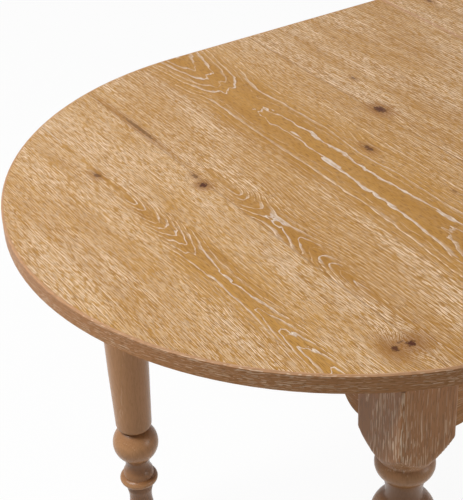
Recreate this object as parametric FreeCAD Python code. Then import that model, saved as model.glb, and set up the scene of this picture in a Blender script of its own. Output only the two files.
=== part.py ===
import FreeCAD, Part
import math
import os

# An extending dining table with a racetrack top and turned legs.
# Origin: on the floor under the middle of the closed table. X runs along the table, Y across it, Z up.
# The two halves of the top slide apart on geared slides, and the folded leaf is stored under them.

# Driving dimensions of the whole table
top_width = 800.0
closed_length = 1530.0
table_height = 750.0
top_thickness = 22.0
leaf_length = 400.0
top_gap = 1.0  # between the frame and the sliding top
running_gap = 0.3  # between faces that slide past each other
seat_gap = 0.05  # radial room of a pin, bolt or dowel in its hole
overrun = 5.0  # how far a cutting tool runs past what it cuts

# Top edging
edging_thickness = 3.0
edge_easing = 1.6
under_easing = 1.0

# Legs
leg_block_size = 70.0
leg_setback_x = 247.5  # leg centre from the end of the closed top
leg_setback_y = 82.0  # leg centre from the side of the top
block_length = 85.0
glide_height = 4.0
glide_radius = 11.0
glide_rim = 1.0

# Aprons
apron_thickness = 22.0
apron_setback = 8.0  # behind the outer face of the leg block
apron_depth = 81.0
scallop_rise = 20.0
scallop_flat = 10.0
scallop_radius = 27.0

# Cross bearers and stored leaf
bearer_thickness = 12.0
bearer_width = 60.0
leaf_overhang = 60.0  # leaf past the middle of its bearer
felt_thickness = 2.0
felt_width = 30.0
felt_inset = 50.0  # felt from the side of the leaf

# Geared slides
rail_width = 20.0
rail_setback = 100.0  # rail end from the inner face of the end apron
leaf_side_room = 13.7  # between the leaf and the inner runners
runner_width = 26.0
runner_height = 30.0
runner_lead = 15.0  # runner still past the joint at full travel
groove_depth = 4.0
groove_height = 6.0
groove_lift = 2.0  # groove above the lower face of the runner
stop_length = 12.0

# Gearing
gear_module = 2.0
pinion_teeth = 14
pressure_angle = 20.0
addendum_share = 0.8
dedendum_share = 1.1
backlash = 0.25
pinion_height = 10.0
rack_back = 5.0  # solid part of the rack behind its teeth
rack_overlap = 0.5  # rack face higher than the pinion, each side
pinion_drop = 4.5  # pinion top below the rail top
spare_spaces = 2  # rack teeth past each end of the travel
pinion_pin_radius = 4.0
pinion_cap_radius = 7.0
pinion_cap_height = 1.5
pinion_pin_sink = 20.0

# Corner brackets and leg bolts
leg_chamfer = 12.0
bracket_thickness = 2.5
bracket_height = 56.0
bracket_flange = 26.0
bracket_drop = 10.0
bolt_radius = 4.0
bolt_in_leg = 38.0
bolt_tail = 14.0
bolt_spacing = 30.0
nut_flat = 13.0
nut_height = 6.5

# Alignment dowels of the top and the leaf
dowel_radius = 4.0
dowel_length = 14.0
dowel_sunk = 18.0
dowel_nose = 1.5
dowel_clearance = 0.3
dowel_spacing_share = 0.225  # of the width of the top

# Leaf hinges
hinge_place_share = 0.325  # of the length of the leaf, from its middle
hinge_barrel_radius = 5.0
hinge_barrel_depth = 13.0
hinge_plate = 3.0
hinge_width = 9.0

# Hook locks across the joint of the top
lock_setback = 36.0  # from the side of the top
lock_pivot_x = 22.0
lock_swing = 24.0
lever_thickness = 2.5
lever_width = 15.0
lever_tip = 12.0  # past the keeper
lever_drop = 4.0
post_radius = 3.0
post_head_radius = 6.0
post_head_height = 2.0
hook_room = 0.4
keeper_sunk = 12.0

# Glide pads on the frame
pad_length = 40.0
pad_width = 16.0

# Derived places
end_radius = top_width / 2
end_centre_x = closed_length / 2 - end_radius
top_under = table_height - top_thickness
frame_top = top_under - top_gap
half_travel = leaf_length / 2
leaf_half_width = top_width / 4
leg_x = closed_length / 2 - leg_setback_x
leg_y = top_width / 2 - leg_setback_y
half_block = leg_block_size / 2
leg_height = frame_top - glide_height
block_bottom = frame_top - block_length
apron_outer_x = leg_x + half_block - apron_setback
apron_outer_y = leg_y + half_block - apron_setback
apron_inner_x = apron_outer_x - apron_thickness
apron_inner_y = apron_outer_y - apron_thickness
apron_bottom = frame_top - apron_depth
arch_bottom = apron_bottom + scallop_rise
bearer_top = arch_bottom + bearer_thickness
leaf_bottom = bearer_top + felt_thickness
leaf_middle = leaf_bottom + top_thickness
half_rail = rail_width / 2
runner_face = half_rail + running_gap
rail_y = leaf_half_width + leaf_side_room + runner_width + runner_face
rail_reach = apron_inner_x - rail_setback
runner_behind = rail_reach - stop_length - running_gap - half_travel
runner_ahead = half_travel + runner_lead
rail_bearer_x = rail_reach - bearer_width / 2
leaf_bearer_x = half_travel - leaf_overhang
pitch_radius = gear_module * pinion_teeth / 2
tooth_pitch = math.pi * gear_module
tip_radius = pitch_radius + addendum_share * gear_module
root_radius = pitch_radius - dedendum_share * gear_module
pinion_top = frame_top - pinion_drop
pinion_bottom = pinion_top - pinion_height
runner_bottom = top_under - runner_height
groove_bottom = runner_bottom + groove_lift
dowel_z = top_under + top_thickness / 2
dowel_spacing = dowel_spacing_share * top_width
dowel_inner_y = dowel_spacing / 2
dowel_outer_y = dowel_inner_y + dowel_spacing
hinge_place = hinge_place_share * leaf_length
lock_y = end_radius - lock_setback

sides = {"near": -1, "far": 1}
ends = {"left": -1, "right": 1}
V = FreeCAD.Vector
up = V(0, 0, 1)


def box(x0, x1, y0, y1, z0, z1):
    return Part.makeBox(x1 - x0, y1 - y0, z1 - z0, V(x0, y0, z0))


def rod(radius, length, place, direction=up):
    return Part.makeCylinder(radius, length, place, direction)


def prism(points, height):
    wire = Part.makePolygon(points + points[:1])
    return Part.Face(wire).extrude(up * height)


def mirrored(shape, end=1, side=1):
    """The shape for the given end and side, made at the right far corner."""
    if end < 0:
        shape = shape.mirror(V(0, 0, 0), V(1, 0, 0))
    if side < 0:
        shape = shape.mirror(V(0, 0, 0), V(0, 1, 0))
    return shape


def group(shapes):
    return Part.makeCompound(shapes)


def save(name, shape):
    shape.exportStep("parts/" + name + ".step")
    print(name, len(shape.Solids), round(shape.Volume), shape.isValid())


def half_top(inset, joint_x, bottom, height):
    """Half a racetrack on the right of the joint, drawn in from the rim by inset."""
    radius = end_radius - inset
    corner_low = V(joint_x, -radius, bottom)
    turn_low = V(end_centre_x, -radius, bottom)
    crown = V(end_centre_x + radius, 0, bottom)
    turn_high = V(end_centre_x, radius, bottom)
    corner_high = V(joint_x, radius, bottom)
    edges = [
        Part.LineSegment(corner_low, turn_low).toShape(),
        Part.Arc(turn_low, crown, turn_high).toShape(),
        Part.LineSegment(turn_high, corner_high).toShape(),
        Part.LineSegment(corner_high, corner_low).toShape(),
    ]
    return Part.Face(Part.Wire(edges)).extrude(up * height)


def dowel_places(signs=(-1, 1)):
    return [sign * y for sign in signs for y in (dowel_inner_y, dowel_outer_y)]


def dowel_hole(y, z, x, direction, radius, depth):
    return rod(radius, depth, V(x, y, z), V(direction, 0, 0))


# Top: a veneered board in each half, with a hardwood edging all round it
def top_board(end):
    shape = half_top(edging_thickness, edging_thickness, top_under, top_thickness)
    radius = dowel_radius + (seat_gap if end < 0 else dowel_clearance)
    for y in dowel_places():
        shape = shape.cut(dowel_hole(y, dowel_z, 0, 1, radius, dowel_sunk))
    post_hole = rod(post_radius + seat_gap, keeper_sunk, V(lock_pivot_x, lock_y, top_under))
    shape = shape.cut(post_hole).cut(mirrored(post_hole, 1, -1))
    return mirrored(shape, end)


def top_edging(end):
    outer = half_top(0, 0, top_under, top_thickness)
    rim = [e for e in outer.Edges if is_rim_edge(e, table_height)]
    outer = outer.makeChamfer(edge_easing, rim)
    rim = [e for e in outer.Edges if is_rim_edge(e, top_under)]
    outer = outer.makeChamfer(under_easing, rim)
    inner = half_top(edging_thickness, edging_thickness, top_under, top_thickness)
    shape = outer.cut(inner)
    radius = dowel_radius + (seat_gap if end < 0 else dowel_clearance)
    for y in dowel_places():
        shape = shape.cut(dowel_hole(y, dowel_z, -overrun, 1, radius, edging_thickness + 2 * overrun))
    return mirrored(shape, end)


def is_rim_edge(edge, z):
    """True for an edge of the outline at height z, apart from the one along the joint."""
    points = [v.Point for v in edge.Vertexes]
    level = all(abs(p.z - z) < seat_gap for p in points)
    return level and not all(abs(p.x) < seat_gap for p in points)


def dowel(x, y, z, direction, sunk):
    start = V(x - direction * sunk, y, z)
    body = rod(dowel_radius, sunk + dowel_length, start, V(direction, 0, 0))
    tip = x + direction * dowel_length
    nose = [e for e in body.Edges if len(e.Vertexes) == 1 and abs(e.Vertexes[0].X - tip) < seat_gap]
    return body.makeChamfer(dowel_nose, nose)


# Legs: the profile is turned, and the square block is what the lathe leaves of the blank.
# Heights are shares of the leg height above its foot, radii are shares of half the block.
# A line row gives the end of a straight stretch, an arc row its middle and its end, and a ball row
# the centre and radius of a ball and the heights where it starts and ends, from the top down.
profile_shares = (
    ("arc", 0.8693, 1.2171, 0.8479, 0.8971),
    ("line", 0.8451, 0.8857),
    ("line", 0.8437, 0.8229),
    ("line", 0.8396, 0.8114),
    ("arc", 0.8243, 0.8971, 0.8064, 0.7029),
    ("line", 0.8050, 0.6686),
    ("arc", 0.7870, 0.5714, 0.7683, 0.5600),
    ("ball", 0.7275, 0.9971, 0.7669, 0.6895),
    ("line", 0.6888, 0.6000),
    ("line", 0.6867, 0.6000),
    ("line", 0.6867, 0.6971),
    ("arc", 0.6831, 0.8790, 0.6743, 0.9543),
    ("line", 0.5002, 0.9086),
    ("line", 0.3029, 0.7829),
    ("arc", 0.2945, 0.7194, 0.2900, 0.5586),
    ("line", 0.2849, 0.5571),
    ("ball", 0.2497, 0.9971, 0.2835, 0.2206),
    ("arc", 0.1916, 0.5314, 0.1736, 0.6514),
    ("line", 0.1617, 0.6714),
    ("arc", 0.1524, 0.8400, 0.1433, 0.6914),
    ("line", 0.1404, 0.5514),
    ("line", 0.1342, 0.5514),
    ("line", 0.1245, 0.5743),
    ("arc", 0.1037, 0.5029, 0.0802, 0.5371),
    ("ball", 0.0387, 0.7000, 0.0595, 0.0152),
    ("line", 0.0000, 0.4286),
)
ball_limit_share = 0.9  # a ball is cut off at most this far from its centre
ring_steps = 3  # straight stretches of a turned ring or hollow
ball_steps = 8


def on_leg(height_share, radius_share):
    return V(radius_share * half_block, 0, glide_height + height_share * leg_height)


def ball_ends(centre, radius, *end_shares):
    """Where a ball starts and ends, both on its own surface."""
    limit = ball_limit_share * radius
    rises = [on_leg(share, 0).z - centre.z for share in end_shares]
    angles = [math.asin(max(-limit, min(limit, rise)) / radius) for rise in rises]
    return [centre + V(math.cos(a), 0, math.sin(a)) * radius for a in angles]


def round_points(start, middle, end, steps):
    """Points that follow the start on the arc through the three given points."""
    return Part.Arc(start, middle, end).discretize(Number=steps + 1)[1:]


def leg_profile():
    corner = half_block * math.sqrt(2)
    reach = corner + overrun
    points = [V(0, 0, frame_top), V(reach, 0, frame_top), V(reach, 0, block_bottom), V(corner, 0, block_bottom)]
    for kind, *shares in profile_shares:
        if kind == "line":
            points.append(on_leg(*shares))
        elif kind == "arc":
            points += round_points(points[-1], on_leg(*shares[:2]), on_leg(*shares[2:]), ring_steps)
        else:
            centre_share, radius_share, *end_shares = shares
            centre = on_leg(centre_share, 0)
            radius = radius_share * half_block
            start, end = ball_ends(centre, radius, *end_shares)
            points += [start] + round_points(start, centre + V(radius, 0, 0), end, ball_steps)
    points.append(on_leg(0, 0))
    return Part.Face(Part.makePolygon(points + points[:1]))


def leg():
    turned = leg_profile().revolve(V(0, 0, 0), up, 360)
    blank = box(-half_block, half_block, -half_block, half_block, 0, frame_top)
    shape = blank.common(turned)
    shape.translate(V(leg_x, leg_y, 0))
    shape = shape.cut(inner_corner_cut())
    for place in bolt_places():
        hole = rod(bolt_radius + seat_gap, bolt_in_leg + overrun, place - diagonal * overrun, diagonal)
        shape = shape.cut(hole)
    return shape


# The inner corner of the block is cut off square to the diagonal, where the bracket draws it in
diagonal = V(1, 1, 0).normalize()
chamfer_foot = V(leg_x - half_block + leg_chamfer / 2, leg_y - half_block + leg_chamfer / 2, 0)


def inner_corner_cut():
    cut = box(-leg_block_size, 0, -leg_block_size, leg_block_size, 0, block_length + overrun)
    cut.rotate(V(0, 0, 0), up, 45)
    cut.translate(chamfer_foot + up * block_bottom)
    return cut


def bolt_places():
    middle = frame_top - bracket_drop - bracket_height / 2
    return [chamfer_foot + up * (middle + s * bolt_spacing / 2) for s in (-1, 1)]


def leg_bolt(place):
    start = place - diagonal * bolt_tail
    return rod(bolt_radius, bolt_tail + bolt_in_leg, start, diagonal)


def leg_nut(place):
    seat = place - diagonal * (running_gap + bracket_thickness)
    radius = nut_flat / math.sqrt(3)
    corners = [V(radius * math.cos(i * math.pi / 3), radius * math.sin(i * math.pi / 3), 0) for i in range(6)]
    nut = prism(corners, nut_height)
    nut.Placement = FreeCAD.Placement(seat, FreeCAD.Rotation(up, -diagonal))
    return nut.cut(rod(bolt_radius + seat_gap, bolt_tail + overrun, seat + diagonal * overrun, -diagonal))


def corner_bracket():
    """Bent plate across the corner, with a flange flat against each apron."""
    face = chamfer_foot - diagonal * running_gap
    total = face.x + face.y
    back = total - bracket_thickness * math.sqrt(2)
    bend = bracket_thickness * math.tan(math.pi / 8)
    wall_y = apron_inner_y
    wall_x = apron_inner_x
    side_x = total - wall_y
    end_y = total - wall_x
    points = [
        V(side_x - bracket_flange, wall_y, 0),
        V(side_x, wall_y, 0),
        V(wall_x, end_y, 0),
        V(wall_x, end_y - bracket_flange, 0),
        V(wall_x - bracket_thickness, end_y - bracket_flange, 0),
        V(wall_x - bracket_thickness, end_y - bend, 0),
        V(side_x - bend, wall_y - bracket_thickness, 0),
        V(side_x - bracket_flange, wall_y - bracket_thickness, 0),
    ]
    shape = prism(points, bracket_height)
    shape.translate(up * (frame_top - bracket_drop - bracket_height))
    for place in bolt_places():
        start = place + diagonal * overrun
        shape = shape.cut(rod(bolt_radius + seat_gap, 3 * overrun + bracket_thickness, start, -diagonal))
    return shape


def foot_glide():
    cap = rod(glide_radius, glide_height, V(leg_x, leg_y, 0))
    rim = [e for e in cap.Edges if len(e.Vertexes) == 1 and abs(e.Vertexes[0].Z) < seat_gap]
    return cap.makeChamfer(glide_rim, rim)


def apron(length, outer, direction):
    """A rail between two blocks, its lower edge cut to a shallow arch with an ogee at each end."""
    half = length / 2
    angle = math.acos(1 - scallop_rise / (2 * scallop_radius))
    reach = scallop_radius * math.sin(angle)
    half_angle = angle / 2
    dip_x = scallop_radius * math.sin(half_angle)
    dip_z = scallop_radius * (1 - math.cos(half_angle))
    ogee = [
        (half - scallop_flat, 0),
        (half - scallop_flat - dip_x, dip_z),
        (half - scallop_flat - reach, scallop_rise / 2),
        (half - scallop_flat - 2 * reach + dip_x, scallop_rise - dip_z),
        (half - scallop_flat - 2 * reach, scallop_rise),
    ]

    def at(s, z):
        return V(s, 0, apron_bottom + z)

    right = [at(s, z) for s, z in ogee]
    left = [at(-s, z) for s, z in ogee]
    edges = [
        Part.LineSegment(at(half, apron_depth), at(half, 0)).toShape(),
        Part.LineSegment(at(half, 0), right[0]).toShape(),
        Part.Arc(right[0], right[1], right[2]).toShape(),
        Part.Arc(right[2], right[3], right[4]).toShape(),
        Part.LineSegment(right[4], left[4]).toShape(),
        Part.Arc(left[4], left[3], left[2]).toShape(),
        Part.Arc(left[2], left[1], left[0]).toShape(),
        Part.LineSegment(left[0], at(-half, 0)).toShape(),
        Part.LineSegment(at(-half, 0), at(-half, apron_depth)).toShape(),
        Part.LineSegment(at(-half, apron_depth), at(half, apron_depth)).toShape(),
    ]
    shape = Part.Face(Part.Wire(edges)).extrude(V(0, -apron_thickness, 0))
    shape.translate(V(0, outer, 0))
    if direction == "y":
        shape.rotate(V(0, 0, 0), up, -90)
    return shape


# Bearers across the frame, their felt, and the pads that the top glides on
def bearer(x):
    return box(
        x - bearer_width / 2, x + bearer_width / 2, -apron_inner_y, apron_inner_y, arch_bottom, bearer_top
    )


def felt_strip(x):
    reach = leaf_half_width - felt_inset
    return box(x - felt_width / 2, x + felt_width / 2, -reach, reach, bearer_top, leaf_bottom)


def glide_pads():
    thickness = top_gap - running_gap
    pads = []
    middle_y = apron_inner_y + apron_thickness / 2
    middle_x = apron_inner_x + apron_thickness / 2
    for sign in (-1, 1):
        for x in (-rail_bearer_x, rail_bearer_x):
            pads.append((x, sign * middle_y, pad_length, pad_width))
        for y in (-leg_y / 2, leg_y / 2):
            pads.append((sign * middle_x, y, pad_width, pad_length))
    return group(
        [box(x - a / 2, x + a / 2, y - b / 2, y + b / 2, frame_top, frame_top + thickness) for x, y, a, b in pads]
    )


# Slides: a fixed rail with a groove in each side, and a runner of each half beside it
def fixed_rail():
    shape = box(-rail_reach, rail_reach, rail_y - half_rail, rail_y + half_rail, bearer_top, frame_top)
    depth = groove_depth + running_gap
    low = groove_bottom
    high = groove_bottom + groove_height
    for y0, y1 in ((rail_y - half_rail - overrun, rail_y - half_rail + depth),
                   (rail_y + half_rail - depth, rail_y + half_rail + overrun)):
        shape = shape.cut(box(-rail_reach - overrun, rail_reach + overrun, y0, y1, low, high))
    pocket_floor = pinion_bottom - running_gap
    pocket = rod(tip_radius + rack_overlap, frame_top - pocket_floor + overrun, V(0, rail_y, pocket_floor))
    bore = rod(pinion_pin_radius, pinion_pin_sink, V(0, rail_y, pocket_floor - pinion_pin_sink))
    return shape.cut(pocket).cut(bore)


def runner(end):
    """Right runner inside the rail, left runner outside it, both made for the far side."""
    y0 = rail_y + runner_face
    y1 = y0 + runner_width
    shape = box(0, runner_behind, y0, y1, runner_bottom, top_under)
    ahead = box(-runner_ahead, 0, y0, y1, runner_bottom, frame_top)
    tongue = box(
        -runner_ahead,
        runner_behind,
        y0 - groove_depth,
        y0,
        groove_bottom + running_gap,
        groove_bottom + groove_height - running_gap,
    )
    shape = shape.fuse([ahead, tongue]).removeSplitter()
    shape = shape.cut(rack_slot())
    return turned_to(end, shape)


def turned_to(end, shape):
    """A slide piece made outside the far rail for the right half, moved to its own half."""
    if end > 0:
        about = V(0, rail_y, 0)
        return shape.mirror(about, V(0, 1, 0))
    return shape.mirror(V(0, 0, 0), V(1, 0, 0))


travel_spaces = math.ceil(half_travel / tooth_pitch)
rack_start = -spare_spaces * tooth_pitch
rack_end = (travel_spaces + spare_spaces) * tooth_pitch


def rack_slot():
    back = pitch_radius + dedendum_share * gear_module + rack_back
    low = pinion_bottom - rack_overlap
    high = pinion_top + rack_overlap
    return box(-rack_end, -rack_start, rail_y, rail_y + back, low, high)


def rack(end):
    """Straight-sided teeth that face the pinion, with a space opposite its middle at rest."""
    angle = math.radians(pressure_angle)
    tip = pitch_radius - addendum_share * gear_module
    root = pitch_radius + dedendum_share * gear_module
    half_pitch_line = tooth_pitch / 4 - backlash / 4
    half_tip = half_pitch_line - addendum_share * gear_module * math.tan(angle)
    half_root = half_pitch_line + dedendum_share * gear_module * math.tan(angle)
    low = pinion_bottom - rack_overlap
    points = [V(rack_start, rail_y + root, low)]
    for i in range(-spare_spaces, travel_spaces + spare_spaces):
        middle = (i + 1 / 2) * tooth_pitch
        for x, y in ((-half_root, root), (-half_tip, tip), (half_tip, tip), (half_root, root)):
            points.append(V(middle + x, rail_y + y, low))
    points.append(V(rack_end, rail_y + root, low))
    points.append(V(rack_end, rail_y + root + rack_back, low))
    points.append(V(rack_start, rail_y + root + rack_back, low))
    shape = prism(points, pinion_height + 2 * rack_overlap)
    shape = shape.mirror(V(0, 0, 0), V(1, 0, 0))
    return turned_to(end, shape)


def pinion():
    """Involute teeth, with the middle of one on each side facing a rack."""
    angle = math.radians(pressure_angle)
    base_radius = pitch_radius * math.cos(angle)
    half_tooth = (tooth_pitch - backlash) / (4 * pitch_radius)
    involute = math.tan(angle) - angle

    def half_angle(radius):
        local = math.acos(min(1, base_radius / radius))
        return half_tooth + involute - (math.tan(local) - local)

    def at(radius, turn):
        return V(radius * math.cos(turn), rail_y + radius * math.sin(turn), pinion_bottom)

    flank = [base_radius, (base_radius + tip_radius) / 2, tip_radius]
    points = []
    for i in range(pinion_teeth):
        turn = math.pi / 2 + i * 2 * math.pi / pinion_teeth
        points.append(at(root_radius, turn - half_angle(base_radius)))
        points += [at(radius, turn - half_angle(radius)) for radius in flank]
        points += [at(radius, turn + half_angle(radius)) for radius in reversed(flank)]
        points.append(at(root_radius, turn + half_angle(base_radius)))
    shape = prism(points, pinion_height)
    bore = rod(pinion_pin_radius + seat_gap, pinion_height + 2 * overrun, V(0, rail_y, pinion_bottom - overrun))
    return shape.cut(bore)


def pinion_pin():
    bottom = pinion_bottom - running_gap - pinion_pin_sink
    length = pinion_top + running_gap - bottom
    shank = rod(pinion_pin_radius, length, V(0, rail_y, bottom))
    cap = rod(pinion_cap_radius, pinion_cap_height, V(0, rail_y, bottom + length))
    return shank.fuse(cap)


def slide_stop(end):
    """Hardwood block in the end of a groove, which the tongue meets at full travel."""
    y1 = rail_y + half_rail
    y0 = y1 - groove_depth - running_gap
    shape = box(rail_reach - stop_length, rail_reach, y0, y1, groove_bottom, groove_bottom + groove_height)
    return turned_to(end, shape)


# Stored leaf: two boards hinged at the fold, show faces together
def leaf_board(bottom):
    """Half of the leaf as stored, with the alignment holes of its long edges."""
    shape = box(-half_travel, half_travel, -leaf_half_width, leaf_half_width, bottom, bottom + top_thickness)
    z = bottom + top_thickness / 2
    for y in leaf_dowel_places():
        shape = shape.cut(dowel_hole(y, z, half_travel, -1, dowel_radius + seat_gap, dowel_sunk))
        shape = shape.cut(dowel_hole(y, z, -half_travel, 1, dowel_radius + dowel_clearance, dowel_sunk))
    for x in (-hinge_place, hinge_place):
        start = V(x, leaf_half_width + overrun, z)
        bore = rod(hinge_barrel_radius + seat_gap, hinge_barrel_depth + overrun, start, V(0, -1, 0))
        shape = shape.cut(bore)
    return shape


def leaf_dowel_places():
    """Dowels of one half of the leaf, measured from the fold at its far edge."""
    return [leaf_half_width - dowel_inner_y, leaf_half_width - dowel_outer_y]


def leaf_dowels():
    pins = []
    for bottom in (leaf_bottom, leaf_middle):
        for y in leaf_dowel_places():
            pins.append(dowel(half_travel, y, bottom + top_thickness / 2, 1, dowel_sunk))
    return group(pins)


def leaf_hinge(x):
    """A barrel in each fold edge, joined by a link over the fold."""
    fold = leaf_half_width
    low = leaf_bottom + top_thickness / 2
    high = leaf_middle + top_thickness / 2
    barrels = [
        rod(hinge_barrel_radius, hinge_barrel_depth, V(x, fold, z), V(0, -1, 0)) for z in (low, high)
    ]
    link = box(
        x - hinge_width / 2,
        x + hinge_width / 2,
        fold,
        fold + hinge_plate,
        low - hinge_width / 2,
        high + hinge_width / 2,
    )
    return link.fuse(barrels)


# Hook locks: a lever on the left half swings over a keeper on the right half
def lock_post(x, side):
    """Shouldered post, its head holding the lever up."""
    length = lever_drop + lever_thickness + running_gap + keeper_sunk
    bottom = top_under + keeper_sunk - length
    shank = rod(post_radius, length, V(x, side * lock_y, bottom))
    head = rod(post_head_radius, post_head_height, V(x, side * lock_y, bottom - post_head_height))
    return shank.fuse(head)


def lock_lever(side):
    """Lever with a slot that swings onto the keeper, made locked and then swung to rest."""
    reach = 2 * lock_pivot_x
    half = lever_width / 2
    bottom = top_under - lever_drop - lever_thickness
    plate = box(0, reach + lever_tip, -half, half, 0, lever_thickness)
    plate = plate.fuse(rod(half, lever_thickness, V(0, 0, 0))).removeSplitter()
    tab = box(reach + lever_tip - lever_thickness, reach + lever_tip, -half, half, -lever_drop, 0)
    slot_outer = reach + post_radius + hook_room
    slot_inner = reach - post_radius - hook_room
    ring = rod(slot_outer, lever_thickness + 2 * overrun, V(0, 0, -overrun))
    ring = ring.cut(rod(slot_inner, lever_thickness + 2 * overrun, V(0, 0, -overrun)))
    mouth = box(0, slot_outer + overrun, -half - overrun, 0, -overrun, lever_thickness + overrun)
    end_hole = rod(post_radius + hook_room, lever_thickness + 2 * overrun, V(reach, 0, -overrun))
    shape = plate.fuse(tab).removeSplitter().cut(ring.common(mouth)).cut(end_hole)
    shape = shape.cut(rod(post_radius + seat_gap, lever_thickness + 2 * overrun, V(0, 0, -overrun)))
    shape.rotate(V(0, 0, 0), up, lock_swing)
    shape.translate(V(-lock_pivot_x, lock_y, bottom))
    return mirrored(shape, 1, side)


def make_legs():
    whole = leg()
    bracket = corner_bracket()
    glide = foot_glide()
    glides = []
    bolts = []
    nuts = []
    for end_name, end in ends.items():
        for side_name, side in sides.items():
            place = side_name + "_" + end_name
            save("leg_" + place, mirrored(whole, end, side))
            save("corner_bracket_" + place, mirrored(bracket, end, side))
            glides.append(mirrored(glide, end, side))
            bolts += [mirrored(leg_bolt(p), end, side) for p in bolt_places()]
            nuts += [mirrored(leg_nut(p), end, side) for p in bolt_places()]
    save("foot_glides", group(glides))
    save("leg_bolts", group(bolts))
    save("leg_nuts", group(nuts))


def make_frame():
    side_apron = apron(2 * (leg_x - half_block), apron_outer_y, "x")
    end_apron = apron(2 * (leg_y - half_block), apron_outer_x, "y")
    for name, side in sides.items():
        save("side_apron_" + name, mirrored(side_apron, 1, side))
        save("slide_rail_" + name, mirrored(fixed_rail(), 1, side))
    for name, end in ends.items():
        save("end_apron_" + name, mirrored(end_apron, end))
        save("leaf_bearer_" + name, bearer(end * leaf_bearer_x))
        save("rail_bearer_" + name, bearer(end * rail_bearer_x))
    save("felt_strips", group([felt_strip(end * leaf_bearer_x) for end in ends.values()]))
    save("glide_pads", glide_pads())
    stops = [mirrored(slide_stop(end), 1, side) for end in ends.values() for side in sides.values()]
    save("slide_stops", group(stops))


def make_gears():
    for name, side in sides.items():
        save("pinion_" + name, mirrored(pinion(), 1, side))
        save("pinion_pin_" + name, mirrored(pinion_pin(), 1, side))


def make_leaf():
    save("leaf_lower_board", leaf_board(leaf_bottom))
    save("leaf_upper_board", leaf_board(leaf_middle))
    save("leaf_dowels", leaf_dowels())
    save("leaf_hinges", group([leaf_hinge(x) for x in (-hinge_place, hinge_place)]))


def make_top():
    for name, end in ends.items():
        save("top_board_" + name, top_board(end))
        save("top_edging_" + name, top_edging(end))
        for side_name, side in sides.items():
            save("runner_" + name + "_" + side_name, mirrored(runner(end), 1, side))
            save("rack_" + name + "_" + side_name, mirrored(rack(end), 1, side))
    save("alignment_dowels", group([dowel(0, y, dowel_z, 1, dowel_sunk) for y in dowel_places()]))
    save("lock_posts", group([lock_post(-lock_pivot_x, side) for side in sides.values()]))
    save("lock_keepers", group([lock_post(lock_pivot_x, side) for side in sides.values()]))
    for name, side in sides.items():
        save("lock_lever_" + name, lock_lever(side))


make_legs()
make_frame()
make_gears()
make_leaf()
make_top()
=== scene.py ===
import math
from functools import partial

import bmesh
import bpy
from mathutils import Matrix, Vector


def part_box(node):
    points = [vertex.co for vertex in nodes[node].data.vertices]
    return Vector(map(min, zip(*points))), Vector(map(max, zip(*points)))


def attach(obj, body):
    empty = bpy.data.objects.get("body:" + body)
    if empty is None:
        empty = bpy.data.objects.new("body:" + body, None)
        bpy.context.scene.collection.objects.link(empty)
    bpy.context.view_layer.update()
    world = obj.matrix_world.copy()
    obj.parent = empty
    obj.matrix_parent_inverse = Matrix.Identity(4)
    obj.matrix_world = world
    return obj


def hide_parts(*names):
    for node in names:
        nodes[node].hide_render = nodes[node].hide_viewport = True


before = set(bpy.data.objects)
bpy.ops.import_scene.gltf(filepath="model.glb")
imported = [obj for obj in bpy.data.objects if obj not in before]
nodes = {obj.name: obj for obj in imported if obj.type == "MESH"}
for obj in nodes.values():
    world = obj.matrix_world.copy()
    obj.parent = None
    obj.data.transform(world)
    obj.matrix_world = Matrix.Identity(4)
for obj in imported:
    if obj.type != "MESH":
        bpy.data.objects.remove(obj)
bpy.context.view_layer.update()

mm = 0.001
print("frame loaded:", len(nodes), "nodes")


def linear(hexColour):
    parts = [int(hexColour[i:i + 2], 16) / 255 for i in (1, 3, 5)]
    return tuple(c / 12.92 if c <= 0.04045 else ((c + 0.055) / 1.055) ** 2.4 for c in parts) + (1.0,)


# Adds a node with its settings and links. The kind may leave out the type's prefix and may be followed
# by an operation. Inputs come in their order, or by name or number in a dictionary.
def addNode(tree, kind, *inputs, stops=(), curve=(), **settings):
    kind, *operation = kind.split()
    prefixes = ("ShaderNode", "GeometryNode", "FunctionNode", "Node")
    node = tree.nodes.new(next((p for p in prefixes if hasattr(bpy.types, p + kind)), "") + kind)
    if operation:
        node.operation = operation[0]
    for name, value in settings.items():
        setattr(node, name, value)
    given = {}
    for i, value in enumerate(inputs):
        given.update(value if isinstance(value, dict) else {i: value})
    for key, value in given.items():
        socket = node.inputs[key]
        if isinstance(value, bpy.types.Node):
            value = next(output for output in value.outputs if output.enabled)
        if isinstance(value, bpy.types.NodeSocket):
            tree.links.new(value, socket)
        else:
            socket.default_value = value
    if stops:  # ramp stops: position and hex colour
        elements = node.color_ramp.elements
        while len(elements) < len(stops):
            elements.new(0.5)
        for element, (position, colour) in zip(elements, stops):
            element.position = position
            element.color = linear(colour)
    if curve:  # points of a float curve, both axes from 0 to 1
        points = node.mapping.curves[0].points
        while len(points) < len(curve):
            points.new(0.5, 0.5)
        for point, place in zip(points, curve):
            point.location = place
        node.mapping.update()
    return node


def newTree(name, kind, inputs, outputs):
    tree = bpy.data.node_groups.new(name, kind + "NodeTree")
    for label, socketKind, value in inputs:
        socket = tree.interface.new_socket(name=label, in_out="INPUT", socket_type="NodeSocket" + socketKind)
        if value is not None:
            socket.default_value = value
    for label, socketKind in outputs:
        tree.interface.new_socket(name=label, in_out="OUTPUT", socket_type="NodeSocket" + socketKind)
    return tree, partial(addNode, tree), tree.nodes.new("NodeGroupInput").outputs


# A material or world with an empty tree, and what adds nodes to it
def newShader(name, owners=bpy.data.materials):
    owner = owners.new(name)
    owner.use_nodes = True
    owner.node_tree.nodes.clear()
    return owner, partial(addNode, owner.node_tree)


# Lays coats over a colour, each with the share that it covers
def coated(add, colour, coats):
    for share, coat in coats:
        coat = linear(coat) if isinstance(coat, str) else coat
        colour = add("Mix", {0: share, 6: colour, 7: coat}, data_type="RGBA")
    return colour


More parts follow.
